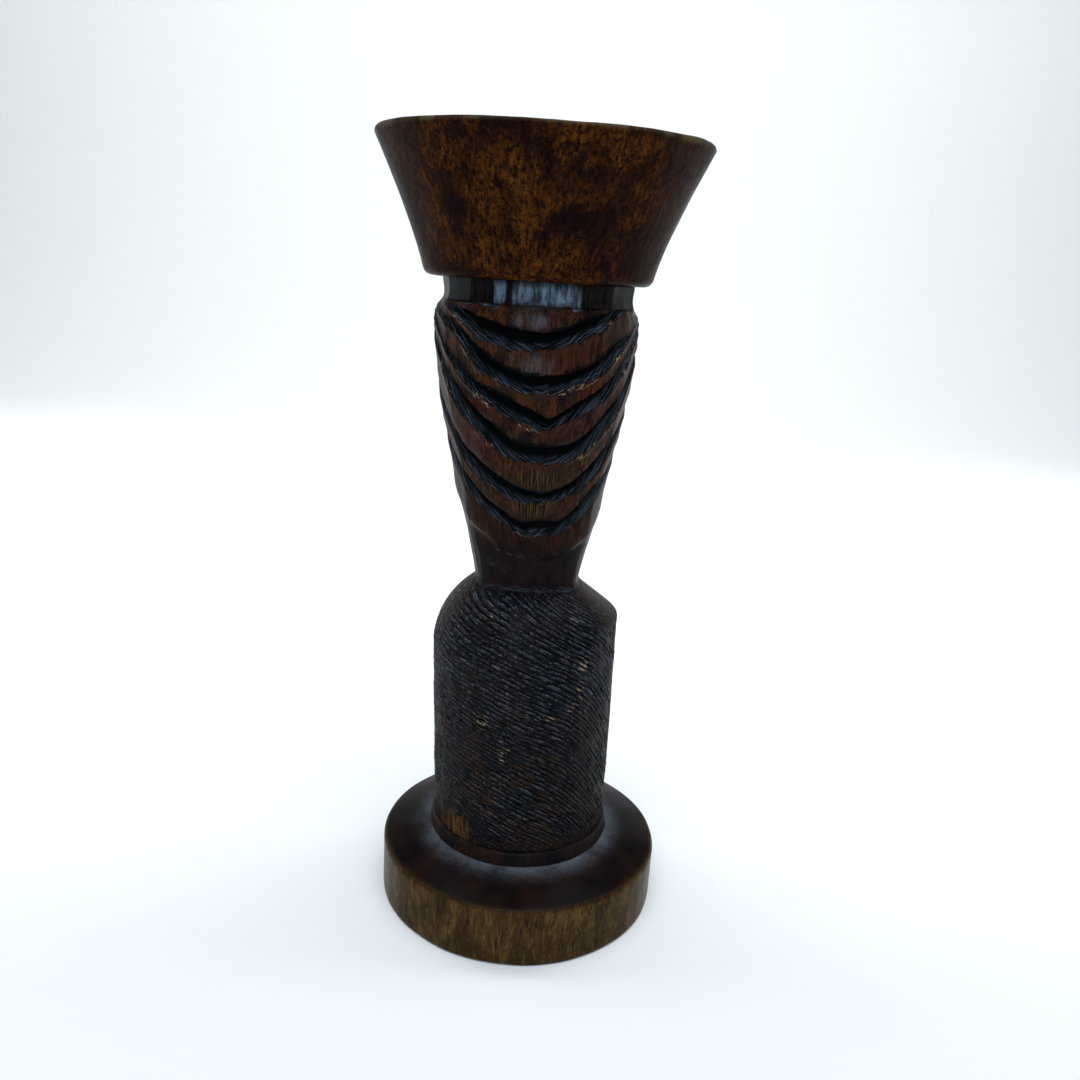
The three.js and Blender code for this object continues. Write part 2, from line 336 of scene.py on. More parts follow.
def window(value, opens, opened, closes, closed):
    """1 between opened and closes, 0 before opens and after closed, and smooth between."""
    return ease(value, opens, opened) * ease(-value, -closed, -closes)


def mix(a, b, share):
    return a + (b - a) * share


def waves(around, up, count, spacing, seed):
    """Smooth random values from -1 to 1. around is in turns and closes on itself after count cells,
    and up is in mm with one cell to each spacing."""
    floors = 4000
    lowest = 1000  # so that heights under 0 stay inside the table
    table = np.random.default_rng(seed).uniform(-1, 1, (count, floors))
    x = (around % 1.0) * count
    y = up / spacing + lowest
    i, j = np.floor(x).astype(int), np.floor(y).astype(int)
    u, v = x - i, y - j
    u, v = u * u * (3 - 2 * u), v * v * (3 - 2 * v)
    i, k, j = i % count, (i + 1) % count, j % floors
    m = (j + 1) % floors
    low = mix(table[i, j], table[k, j], u)
    high = mix(table[i, m], table[k, m], u)
    return mix(low, high, v)


def line_through(values, across, crispness=0.0):
    """Height of a carved line at angles across the front (-90 to 90 degrees). values are even steps;
    crispness 0 is a smooth curve through them and 1 is straight from one to the next."""
    points = np.array([values[0], *values, values[-1]], float)
    place = np.clip((across + 90) / 180, 0, 1) * (len(values) - 1)
    i = np.minimum(place.astype(int), len(values) - 2)
    t = place - i
    a, b, c, d = (points[i + k] for k in range(4))
    bend = (2 * a - 5 * b + 4 * c - d) * t**2 + (3 * b - a - 3 * c + d) * t**3
    smooth = 0.5 * (2 * b + (c - a) * t + bend)
    return mix(smooth, mix(b, c, t), crispness)


def squarish(angle, wide, deep, squareness):
    """Radius of an outline with flattened sides: half widths in mm across and from front to back."""
    across = np.abs(np.sin(angle)) / wide
    along = np.abs(np.cos(angle)) / deep
    return (across**squareness + along**squareness) ** (-1 / squareness)


# ---------------- material tools


def new_material(name):
    material = bpy.data.materials.new(name)
    material.use_nodes = True
    return material


class Finish:
    """A material's node tree, with short calls for the nodes that these finishes use."""

    def __init__(self, name):
        self.material = new_material(name)
        self.tree = self.material.node_tree
        self.shader = self.tree.nodes["Principled BSDF"]
        self.place = self.add("TexCoord").outputs["Object"]

    def feed(self, node, inputs):
        """Gives a node's inputs, by name or number, plain values or other nodes' outputs."""
        for key, value in inputs.items():
            if isinstance(value, bpy.types.NodeSocket):
                self.tree.links.new(value, node.inputs[key])
            else:
                node.inputs[key].default_value = value

    def add(self, kind, inputs=None, **settings):
        node = self.tree.nodes.new("ShaderNode" + kind)
        for key, value in settings.items():
            setattr(node, key, value)
        self.feed(node, inputs or {})
        return node

    def pattern(self, place, scale, detail, roughness, distortion=0.0, shift=(0, 0, 0)):
        """Noise with so many cells to a unit along each axis: a smaller number draws it out that way."""
        mapping = self.add("Mapping", {"Vector": place, "Scale": scale, "Location": shift})
        inputs = {"Scale": 1.0, "Detail": detail, "Roughness": roughness, "Distortion": distortion}
        return self.add("TexNoise", {"Vector": mapping.outputs["Vector"], **inputs}).outputs["Fac"]

    def between(self, value, low, high, to_low=0.0, to_high=1.0):
        """Smoothly maps a range of a value on to another."""
        inputs = {"Value": value, "From Min": low, "From Max": high, "To Min": to_low, "To Max": to_high}
        return self.add("MapRange", inputs, interpolation_type="SMOOTHSTEP").outputs["Result"]

    def math(self, operation, a, b=0.0):
        return self.add("Math", {0: a, 1: b}, operation=operation).outputs["Value"]

    def times(self, a, b):
        return self.math("MULTIPLY", a, b)

    def plus(self, a, b):
        return self.math("ADD", a, b)

    def minus(self, a, b):
        return self.math("SUBTRACT", a, b)

    def distance(self, x, y):
        return self.math("SQRT", self.plus(self.times(x, x), self.times(y, y)))

    def blend(self, share, a, b):
        """Mixes two colours."""
        a, b = (c if isinstance(c, bpy.types.NodeSocket) else (*c, 1) for c in (a, b))
        return self.add("Mix", {0: share, 6: a, 7: b}, data_type="RGBA").outputs[2]

    def tones(self, value, low, high, a, b):
        """Goes smoothly from one colour to another over a range of a value."""
        return self.blend(self.between(value, low, high), a, b)

    def marks(self, name):
        """The red, green and blue channels and alpha of a colour attribute."""
        node = self.add("Attribute", attribute_name=name)
        parts = self.add("SeparateColor", {"Color": node.outputs["Color"]}).outputs
        return parts["Red"], parts["Green"], parts["Blue"], node.outputs["Alpha"]

    def way(self, name):
        return self.add("Attribute", attribute_name=name).outputs["Vector"]

    def axes(self, place):
        return self.add("SeparateXYZ", {"Vector": place}).outputs[:]

    def bump(self, height, depth, under=None):
        """Turns a height from 0 to 1 into relief of a depth in mm, over an earlier relief if given."""
        inputs = {"Strength": 1.0, "Distance": depth * MM, "Height": height}
        if under is not None:
            inputs["Normal"] = under
        return self.add("Bump", inputs).outputs["Normal"]

    def done(self, colour, roughness, normal, gloss):
        inputs = {"Base Color": colour, "Roughness": roughness, "Normal": normal, "Specular IOR Level": gloss}
        self.feed(self.shader, inputs)
        return self.material


# ---------------- finishes

PURPLE_BLACK = (0.007, 0.003, 0.003)
# soot black also serves as painted shade deep in the grooves, and ash grey as painted highlight on the groove
# fibres
SOOT_AND_SHADE = (0.0022, 0.0024, 0.0032)
ASH_AND_HIGHLIGHT = (0.038, 0.049, 0.070)
TAN = (0.30, 0.22, 0.13)


def polished_figured_wood():
    """The headpiece: dark red-brown, golden burl figure in front, upright grain at the sides."""
    f = Finish("polished_figured_wood")
    place = f.place
    golden, purple = f.marks("figure")[:2]
    grain = f.pattern(place, (1000, 1000, 90), 4, 0.6)
    burl = f.pattern(place, (420, 420, 330), 6, 0.66, 1.3)
    clumps = f.pattern(place, (130, 130, 100), 5, 0.62, 0.6, shift=(3.1, 0, 1.7))
    x, y, z = f.axes(place)
    colour = f.tones(clumps, 0.38, 0.60, (0.0165, 0.0056, 0.0032), (0.0520, 0.0158, 0.0048))
    lift = f.times(golden, 0.11)
    gold_share = f.between(f.plus(burl, lift), 0.52, 0.62)
    gold_share = f.times(gold_share, f.between(f.plus(clumps, lift), 0.42, 0.60, 0.1, 0.9))
    gold = f.tones(clumps, 0.45, 0.62, (0.080, 0.0225, 0.0036), (0.108, 0.0345, 0.0044))
    colour = f.blend(gold_share, colour, gold)
    spots = f.pattern(place, (1000, 1000, 700), 3, 0.6, shift=(7, 7, 7))
    colour = f.blend(f.times(f.between(spots, 0.54, 0.62), 0.85), colour, PURPLE_BLACK)
    stain = f.pattern(place, (230, 230, 190), 6, 0.72, 1.0, shift=(0, 5, 2))
    stain = f.between(f.plus(stain, f.times(purple, 0.08)), 0.52, 0.66)
    colour = f.blend(f.times(stain, 0.8), colour, (0.0085, 0.0030, 0.0036))
    colour = f.blend(f.between(grain, 0.42, 0.58, 0.55, 0.0), colour, (0.006, 0.0024, 0.002))
    from_axis = f.minus(x, HEAD_CENTRE * MM)
    to_side = f.math("ABSOLUTE", from_axis)
    side = f.times(f.between(to_side, 0.018, 0.032), 0.55)
    side_colour = f.tones(grain, 0.42, 0.56, (0.0085, 0.0040, 0.0026), (0.0340, 0.0135, 0.0065))
    colour = f.blend(side, colour, side_colour)
    pores = f.pattern(place, (2100, 2100, 330), 2, 0.5)
    pore_share = f.between(pores, 0.59, 0.66)
    colour = f.blend(f.times(pore_share, 0.85), colour, (0.0018, 0.001, 0.002))
    reach = f.distance(from_axis, y)
    # a pale line round the rim: chips and wear, with a painted highlight along the rounded edge
    worn_and_highlit_rim = f.between(reach, (RIM_RADIUS - 2.0) * MM, (RIM_RADIUS - 1.1) * MM)
    worn_and_highlit_rim = f.times(worn_and_highlit_rim, f.between(z, 0.1978, 0.1988))
    worn_and_highlit_rim = f.times(worn_and_highlit_rim, f.between(clumps, 0.42, 0.60, 0.25, 1.0))
    colour = f.blend(f.times(worn_and_highlit_rim, 0.6), colour, (0.105, 0.080, 0.047))
    roughness = f.between(burl, 0.3, 0.7, 0.38, 0.26)
    relief = f.bump(grain, 0.05)
    relief = f.bump(f.minus(1.0, pore_share), 0.08, relief)
    return f.done(colour, roughness, relief, gloss=0.012)


def carved_wood():
    """The column: waxed red-brown bands over grooves blackened and torn along the knife's way, with painted
    shade deep under each lip and painted highlights on the groove fibres.
    """
    f = Finish("carved_wood")
    place = f.place
    soot, lip, edge, deep = f.marks("carving")
    comb, scraped, painted_sheen, sooty = f.marks("wear_and_shine")
    way = f.way("knife_way")
    up = f.axes(way)[2]
    grain = f.pattern(place, (1500, 1500, 110), 4, 0.62)
    streaks = f.pattern(place, (2300, 2300, 200), 2, 0.5, shift=(4, 2, 0))
    patches = f.pattern(place, (260, 260, 150), 6, 0.72, 0.5)
    hue = f.pattern(place, (90, 90, 60), 3, 0.55, shift=(2, 2, 8))
    brown = f.tones(hue, 0.40, 0.60, (0.064, 0.0165, 0.0088), (0.066, 0.0240, 0.0085))
    colour = f.blend(f.between(patches, 0.36, 0.56), (0.0085, 0.0040, 0.0042), brown)
    colour = f.blend(f.between(grain, 0.40, 0.58, 0.75, 0.0), colour, (0.0060, 0.0032, 0.0035))
    olive = f.between(f.pattern(place, (140, 140, 90), 3, 0.5, shift=(7, 1, 3)), 0.52, 0.64)
    colour = f.blend(f.times(olive, 0.5), colour, (0.026, 0.017, 0.007))
    pores = f.pattern(place, (2400, 2400, 420), 2, 0.5, shift=(3, 3, 3))
    colour = f.blend(f.between(pores, 0.59, 0.66, 0.0, 0.8), colour, (0.0030, 0.0018, 0.0022))
    low_down = f.between(up, 34, 18, 0.0, 0.55)
    colour = f.blend(low_down, colour, (0.0110, 0.0060, 0.0042))
    lines = f.pattern(way, (2.3, 0.0, 0.10), 3, 0.6, shift=(4, 2, 0))
    colour = f.blend(f.times(comb, 0.75), colour, (0.0060, 0.0042, 0.0030))
    combed = f.times(comb, f.between(lines, 0.49, 0.57))
    colour = f.blend(f.times(combed, 0.9), colour, (0.088, 0.045, 0.015))
    waist = f.between(up, 16, 10)
    dark_waist = f.tones(patches, 0.40, 0.62, (0.0045, 0.0038, 0.0052), (0.0140, 0.0070, 0.0060))
    colour = f.blend(f.times(waist, 0.92), colour, dark_waist)
    scratch = f.pattern(place, (500, 500, 3200), 4, 0.65, shift=(5, 5, 5))
    colour = f.blend(f.times(scraped, f.between(scratch, 0.47, 0.58)), colour, (0.060, 0.074, 0.100))
    # painted sheen: pale patches on the band flats and the neck's front flats stand for reflections of the
    # light
    shine_streaks = f.pattern(place, (900, 900, 130), 5, 0.7, shift=(6, 3, 2))
    painted_shine_share = f.times(painted_sheen, f.between(shine_streaks, 0.38, 0.62, 0.15, 1.0))
    colour = f.blend(f.times(painted_shine_share, 0.7), colour, (0.165, 0.150, 0.175))
    # soot that has crept up the upright grain over some lips
    reach = f.plus(lip, f.times(streaks, 0.9))
    creep = f.times(f.between(reach, 0.80, 0.98), f.between(sooty, 0.35, 0.65))
    creep = f.math("MAXIMUM", creep, f.between(reach, 1.28, 1.40))
    colour = f.blend(f.times(creep, f.between(up, 4, 12)), colour, SOOT_AND_SHADE)
    # groove slopes: black deep under each lip, which is soot with painted shade, and grey ash fibres further
    # out with pale bluish painted highlights
    fibres = f.pattern(way, (0.17, 3.4, 0.0), 4, 0.62, 0.12)
    ash_and_highlight_share = f.times(f.between(fibres, 0.45, 0.56), f.between(deep, 0.64, 0.36))
    groove_and_neck_colour = f.blend(ash_and_highlight_share, SOOT_AND_SHADE, f.blend(f.between(fibres, 0.56, 0.66), ASH_AND_HIGHLIGHT, (0.140, 0.165, 0.205)))
    wander = f.times(f.minus(fibres, 0.5), 0.8)
    soot_share = f.between(f.plus(soot, wander), 0.40, 0.52)
    neck = f.between(up, 71.2, 71.8)
    neck_grain_and_shine = f.tones(grain, 0.42, 0.60, (0.0025, 0.0025, 0.003), (0.0140, 0.0085, 0.0075))
    # painted reflection: the neck's front flats turn pale bluish where the light would reflect
    neck_grain_and_shine = f.blend(painted_shine_share, neck_grain_and_shine, (0.205, 0.285, 0.385))
    groove_and_neck_colour = f.blend(neck, groove_and_neck_colour, neck_grain_and_shine)
    colour = f.blend(soot_share, colour, groove_and_neck_colour)
    chips = f.pattern(way, (0.7, 2.6, 0.0), 3, 0.6, shift=(3, 9, 4))
    chip_share = f.times(f.between(chips, 0.55, 0.61), f.between(edge, 0.22, 0.7))
    chipped = f.pattern(place, (120, 120, 120), 2, 0.5, shift=(1, 8, 6))
    chip_share = f.times(chip_share, f.between(chipped, 0.50, 0.60))
    colour = f.blend(chip_share, colour, TAN)
    roughness = f.plus(f.times(soot_share, 0.12), 0.34)
    roughness = f.minus(roughness, f.times(neck, 0.10))
    relief = f.bump(grain, 0.05)
    fibre_height = f.times(fibres, f.minus(soot_share, neck))
    relief = f.bump(fibre_height, 1.0, relief)
    return f.done(colour, roughness, relief, gloss=0.04)


def hatched_wood():
    """The block: blackened, with sharp knife strokes painted near black as shade in the cuts, brown and tan
    on the ridges, and painted bluish-grey highlights and glints along them.
    """
    f = Finish("hatched_wood")
    bite, bare, brown, chipped = f.marks("hatching")
    way = f.way("stroke_way")
    number, up = f.axes(way)[1:]
    grain = f.pattern(f.place, (1500, 1500, 120), 4, 0.6)
    patches = f.pattern(f.place, (120, 120, 95), 5, 0.65, shift=(2, 0, 5))
    specks = f.pattern(f.place, (1300, 1300, 1100), 3, 0.6)
    flecks = f.pattern(way, (0.50, 2.3, 0.0), 3, 0.55, shift=(3, 1, 0))
    bluish = f.pattern(way, (0.30, 1.9, 0.0), 3, 0.55, shift=(8, 5, 0))
    ragged = f.times(f.minus(specks, 0.5), 0.24)
    wrapped = f.math("FRACT", f.plus(number, 0.5))
    signed = f.minus(wrapped, 0.5)
    off = f.plus(f.math("ABSOLUTE", signed), ragged)
    cut = f.times(f.between(off, 0.22, 0.07), f.between(bite, 0.08, 0.45))
    ridge = f.between(off, 0.16, 0.34)
    colour = f.tones(patches, 0.40, 0.60, (0.0030, 0.0037, 0.0060), (0.0098, 0.0070, 0.0074))
    lit = f.times(f.between(bluish, 0.44, 0.60), ridge)
    colour = f.blend(f.times(lit, f.between(up, 20, 52, 0.35, 0.8)), colour, (0.030, 0.035, 0.046))
    # painted highlight: a pale line along each cut's lower side, where the thin raised burr would catch the
    # light
    burr = f.times(f.between(signed, -0.34, -0.26), f.between(signed, -0.16, -0.22))
    burr = f.times(burr, f.times(f.between(bite, 0.2, 0.6), f.between(bluish, 0.42, 0.56)))
    colour = f.blend(f.times(burr, 0.85), colour, (0.115, 0.128, 0.155))
    glints = f.pattern(way, (0.75, 5.0, 0.0), 3, 0.6, shift=(5, 3, 0))
    glints = f.times(f.between(glints, 0.60, 0.66), f.between(off, 0.10, 0.22))
    glint_colour = f.tones(up, 42, 30, (0.165, 0.182, 0.215), (0.165, 0.115, 0.065))
    colour = f.blend(f.times(glints, 0.8), colour, glint_colour)
    low = f.between(up, 46, 32, 0.25, 1.0)
    warm = f.times(f.between(flecks, 0.50, 0.60), f.between(patches, 0.40, 0.56))
    warm = f.times(f.times(warm, ridge), low)
    colour = f.blend(f.math("MAXIMUM", brown, warm), colour, (0.052, 0.025, 0.0115))
    gold = f.tones(grain, 0.4, 0.6, (0.018, 0.009, 0.005), (0.105, 0.052, 0.017))
    fade = f.times(f.minus(patches, 0.5), 2.4)
    colour = f.blend(f.between(f.plus(bare, fade), 0.45, 0.85), colour, gold)
    rare = f.pattern(f.place, (85, 85, 62), 3, 0.5, shift=(9, 4, 1))
    chips = f.math("MAXIMUM", f.between(rare, 0.66, 0.76), chipped)
    chips = f.times(chips, f.between(flecks, 0.54, 0.60))
    colour = f.blend(f.times(chips, ridge), colour, TAN)
    colour = f.blend(f.between(specks, 0.52, 0.34, 0.0, 0.75), colour, (0.0022, 0.0022, 0.0028))
    # painted shade: the knife cuts are painted near black
    colour = f.blend(cut, colour, (0.0009, 0.0010, 0.0012))
    roughness = f.between(specks, 0.3, 0.7, 0.32, 0.55)
    relief = f.bump(f.minus(1.0, cut), 0.24)
    relief = f.bump(grain, 0.05, relief)
    relief = f.bump(specks, 0.16, relief)
    return f.done(colour, roughness, relief, gloss=0.045)


def ring_wood():
    """The foot ring: smooth and dark, with brown showing through."""
    f = Finish("ring_wood")
    grain = f.pattern(f.place, (1300, 1300, 120), 4, 0.6)
    patches = f.pattern(f.place, (190, 190, 120), 5, 0.65)
    colour = f.tones(patches, 0.40, 0.60, (0.0042, 0.0036, 0.0046), (0.028, 0.0115, 0.0070))
    colour = f.blend(f.between(grain, 0.42, 0.6, 0.6, 0.0), colour, (0.0025, 0.002, 0.0026))
    x = f.axes(f.place)[0]
    colour = f.blend(f.between(x, -0.012, 0.004, 0.0, 0.45), colour, (0.0050, 0.0048, 0.0068))
    roughness = f.between(grain, 0.3, 0.7, 0.34, 0.48)
    return f.done(colour, roughness, f.bump(grain, 0.05), gloss=0.06)


def base_wood():
    """The base: olive-brown upright grain round the edge, a dark polished top, and pale dust that
    has settled round the foot ring."""
    f = Finish("base_wood")
    place = f.place
    x, y, z = f.axes(place)
    grain = f.pattern(place, (620, 620, 70), 5, 0.66, 0.5)
    curl = f.pattern(place, (330, 330, 120), 6, 0.68, 0.7, shift=(3, 3, 0))
    broad = f.pattern(place, (150, 150, 40), 3, 0.5, shift=(3, 3, 0))
    dashes = f.pattern(place, (2400, 2400, 260), 2, 0.5, shift=(1, 5, 2))
    side = f.tones(curl, 0.38, 0.62, (0.038, 0.0185, 0.0055), (0.104, 0.060, 0.0175))
    side = f.blend(f.between(grain, 0.40, 0.58, 0.65, 0.0), side, (0.030, 0.0160, 0.0055))
    side = f.blend(f.between(broad, 0.54, 0.66, 0.0, 0.6), side, (0.030, 0.0125, 0.0055))
    side = f.blend(f.between(dashes, 0.60, 0.67, 0.0, 0.85), side, (0.0035, 0.003, 0.004))
    veins = f.pattern(place, (1900, 1900, 420), 2, 0.5, shift=(8, 1, 5))
    side = f.blend(f.between(veins, 0.64, 0.70, 0.0, 0.6), side, (0.135, 0.088, 0.038))
    top_patches = f.pattern(place, (90, 90, 90), 4, 0.6)
    top = f.tones(top_patches, 0.38, 0.66, (0.0040, 0.0024, 0.0030), (0.0120, 0.0052, 0.0040))
    top_share = f.between(f.plus(z, f.times(curl, 0.0012)), 0.0156, 0.0172)
    colour = f.blend(top_share, side, top)
    reach = f.distance(f.minus(x, LEAN * BASE_TOP * MM), y)
    powder = f.pattern(place, (2600, 2600, 2600), 4, 0.7)
    drift = f.pattern(place, (130, 130, 130), 3, 0.6, shift=(2, 9, 4))
    near = f.between(reach, (RING_RADIUS + 8.5) * MM, (RING_RADIUS - 0.8) * MM)
    near = f.math("POWER", near, 1.7)
    dust = f.times(near, f.between(drift, 0.30, 0.62, 0.35, 1.0))
    dust = f.times(dust, f.between(f.plus(powder, f.times(near, 0.15)), 0.30, 0.72))
    dust = f.times(dust, top_share)
    colour = f.blend(dust, colour, (0.100, 0.108, 0.130))
    roughness = f.between(dust, 0.0, 1.0, 0.28, 0.85)
    relief = f.bump(f.times(grain, f.minus(1.0, top_share)), 0.08)
    return f.done(colour, roughness, relief, gloss=0.03)


# ---------------- base disc and foot ring

TURNED_SIDES = 256


def flatten_foot(piece):
    """Brings the lowest points back to the floor, so that the base stands flat."""
    near_floor, flat_below = 0.6, 0.15
    points = read_points(piece) / MM
    low = points[:, 2] < near_floor
    points[low, 2] = np.maximum(points[low, 2], 0)
    points[points[:, 2] < flat_below, 2] = 0
    write_points(piece, points * MM)


def make_base():
    edge_height = 16.3
    rounding = 1.6
    slope = math.degrees(math.atan2(BASE_TOP - edge_height, BASE_RADIUS - RING_RADIUS))
    outline = [(BASE_RADIUS - 6, 0.0), (BASE_RADIUS - 0.8, 0.0)]
    outline += arc(BASE_RADIUS - 0.9, 0.9, 0.9, -60, 0, 4)
    outline += [(BASE_RADIUS, h) for h in np.linspace(2.5, edge_height - rounding - 1, 8)]
    outline += arc(BASE_RADIUS - rounding, edge_height - rounding, rounding, 0, 90 - slope, 8)
    edge_radius, edge_top = outline[-1]
    for share in np.linspace(0.06, 1, 14):
        rise = share + 0.10 * math.sin(math.pi * share)
        outline.append((mix(edge_radius, RING_RADIUS - 1.5, share), mix(edge_top, BASE_TOP, min(rise, 1))))
    piece = turn_on_lathe("base_disc_turned", outline, 0, TURNED_SIDES)
    roughen(piece, "base_unevenness", 14, 0.35)
    flatten_foot(piece)
    finish_piece(piece, base_wood(), "base_disc")


def make_ring():
    foot = BASE_TOP - 0.05
    rounding = 0.6
    outline = [(RING_RADIUS - 4, foot), (RING_RADIUS + 0.1, foot)]
    outline += [(RING_RADIUS + 0.1 - 0.4 * s, mix(foot, RING_TOP - rounding, s)) for s in (0.3, 0.6, 0.9)]
    outline += arc(RING_RADIUS - 0.9, RING_TOP - rounding, rounding, 0, 90, 5)
    outline += [(RING_RADIUS - 3, RING_TOP)]
    piece = turn_on_lathe("foot_ring_turned", outline, LEAN * RING_TOP, TURNED_SIDES)
    roughen(piece, "ring_unevenness", 9, 0.18)
    finish_piece(piece, ring_wood(), "foot_ring")


# ---------------- hatched block

BLOCK_HEIGHT = BLOCK_TOP - BLOCK_FOOT
BLOCK_GIRTH = FULL_TURN * 24.3
BLOCK_SIDES = 370
BLOCK_ROWS = 264
STROKE_PITCH = 1.32
STROKE_LENGTH = 11.5
STROKE_DEPTH = 0.50
# places where the ridges have chipped pale: angle in degrees, height in mm, half width and half height
CHIPPED = (
    (39, 75, 4, 3.2), (37, 68.5, 4.5, 3), (34, 65, 3, 1.2), (30, 64, 3, 1),
    (15, 62.5, 6, 1), (-24, 60, 5, 2.4), (-15.5, 75.5, 2.5, 0.9), (40, 86.5, 5, 1.6),
    (12, 49, 0.8, 0.6), (-100, 66, 8, 3), (150, 70, 7, 4), (-152, 52, 9, 3),
)


def block_radius(angle, height):
    """Radius of the block in mm before it is hatched: rounded on the left, cut straight on the right."""
    share = height / BLOCK_HEIGHT
    belly = 23.55 + 1.05 * np.sqrt(np.clip(share, 0, 1)) + 0.25 * np.sin(math.pi * share)
    drop = BLOCK_HEIGHT - height
    ledge = squarish(angle, 14.3, 11.2, 2.8)
    round_share = np.clip(1 - drop / 17.0, 0, 1)
    rounded = mix(ledge, belly, np.clip(1 - round_share**1.9, 0, 1) ** 0.8)
    cut = mix(ledge, belly, np.clip(drop / 7.7, 0, 1))
    return mix(rounded, cut, ease(np.sin(angle), 0.52, 0.80))


def stroke_lines(across, up):
    """Number of the knife stroke at each point of the block, counted up it. The strokes run down to the
    right, more steeply low down and towards the right side."""
    slope = 0.22 + 0.16 * ease(across, -30, 5) + 0.30 * ease(across, 12, 50)
    slope = slope - 0.20 * ease(across, 95, 135)
    steeper = (0.12 + 0.38 * ease(across, 5, 60)) * window(across, -95, -75, 72, 92)
    # the back gives back what the front adds, so that the strokes keep their spacing all round
    flatter = 0.39 * ease(across, 96, 116) + 0.16 * ease(-across, 96, 116)
    slope = slope + ease(66 - up, 0, 60) * 1.15 * (steeper - flatter)
    slope = slope + 0.30 * window(across, -150, -120, -88, -62)
    fall = np.cumsum(slope, axis=1) * BLOCK_GIRTH / BLOCK_SIDES
    fall = fall - fall[:, BLOCK_SIDES // 2][:, None]
    return (up + fall) / STROKE_PITCH


def knife_hatching(turn, up):
    """Number of the stroke at each point of the block, and how deeply it bites there, from 0 to 1."""
    number = stroke_lines(turn * 360, up)
    number = number + 0.42 * waves(turn, up, 13, 12.0, 41) + 0.12 * waves(turn, up, 47, 3.5, 42)
    number = number + 0.29 * waves(turn, number, 15, 1.0, 43)
    stroke = np.rint(number)
    shift = np.random.default_rng(44).uniform(0, 1, 400)[stroke.astype(int) % 400]
    place = turn * BLOCK_GIRTH / STROKE_LENGTH + shift * 7.0
    place = place + 0.2 * waves(turn, stroke, 31, 1.0, 45)
    from_end = np.abs(place - np.rint(place)) * STROKE_LENGTH
    bite = ease(from_end, 0.1, 2.4) * (0.66 + 0.34 * waves(turn, stroke * 1.7, 60, 1.0, 46))
    weak = waves(turn, up, 9, 14.0, 47)
    return number, bite * mix(1.0, 0.45, ease(weak, 0.35, 0.75))


def make_block():
    piece, column, row = lay_grid("hatched_block_carved", BLOCK_SIDES, BLOCK_ROWS)
    rises = np.arange(BLOCK_ROWS) / (BLOCK_ROWS - 1) * BLOCK_HEIGHT
    turn, height = np.meshgrid(np.arange(BLOCK_SIDES) / BLOCK_SIDES - 0.5, rises)
    angle = turn * FULL_TURN
    across = turn * 360
    level = BLOCK_FOOT + height
    number, bite = knife_hatching(turn, height)
    radius = block_radius(angle, height)
    radius = radius + 0.22 * waves(turn, height, 11, 13.0, 3) + 0.09 * waves(turn, height, 34, 4.0, 4)
    # the strokes stop short of the foot, thin out on the shoulders and leave bare patches
    low_limit = 2.6 + 1.1 * waves(turn, height * 0, 22, 9.0, 8)
    kept = ease(height, low_limit, low_limit + 1.0) * ease(BLOCK_HEIGHT - height, 0.3, 1.4)
    bare = window(across, -70, -56, -40, -14) * ease(9.5 - height, 0, 5.0)
    right_shoulder = window(across, 55, 66, 106, 118) * ease(height, 58.5, 61.0)
    left_shoulder = window(across, -150, -130, -62, -50) * ease(height, 54, 60)
    # upright scratches in two patches and along the back, where the strokes meet
    seam = ease(np.abs(turn), 0.482, 0.488)
    upright = window(across, -14, -11, -3, -1) * ease(height, 54, 58)
    upright = np.maximum(upright, window(across, -37, -34, -27, -25) * window(height, 46, 49, 60, 63))
    upright = np.maximum(upright, seam)
    plain = np.clip(0.9 * bare + 0.85 * right_shoulder + 0.7 * left_shoulder + 0.85 * upright, 0, 1)
    bite = bite * kept * (1 - plain) * (seam < 0.01)
    off = np.abs(number - np.rint(number))
    cut = STROKE_DEPTH * bite * np.clip(1 - off / 0.30, 0, 1) ** 0.75
    burr = 0.13 * bite * np.exp(-(((off - 0.36) / 0.10) ** 2))
    scratches = 0.34 * upright * np.abs(waves(turn, height, 300, 8.0, 12))
    nicks = 0.05 * np.abs(waves(turn, height, 190, 0.9, 6)) * (1 - bare)
    radius = radius - cut + burr - scratches - nicks
    x, y = LEAN * level + radius * np.sin(angle), -radius * np.cos(angle)
    picked = (row, (column + BLOCK_SIDES // 2) % BLOCK_SIDES)
    close_ends(piece, row, np.stack([x, y, level], 2)[picked])
    brown = np.clip(0.34 * right_shoulder + 0.28 * left_shoulder + 0.12 * ease(2.6 - height, 0, 1.2), 0, 1)
    chipped = np.zeros(angle.shape)
    for middle, chip_level, width, tall in CHIPPED:
        reach = ((across - middle) / width) ** 2 + ((level - chip_level) / tall) ** 2
        chipped = np.maximum(chipped, ease(1.3 - reach, 0, 1))
    write_marks(piece, "hatching", [v[picked] for v in (bite, bare, brown, chipped)])
    write_way(piece, "stroke_way", np.stack([turn * BLOCK_GIRTH, number, height], 2)[picked])
    finish_piece(piece, hatched_wood(), "hatched_block")


# ---------------- carved column

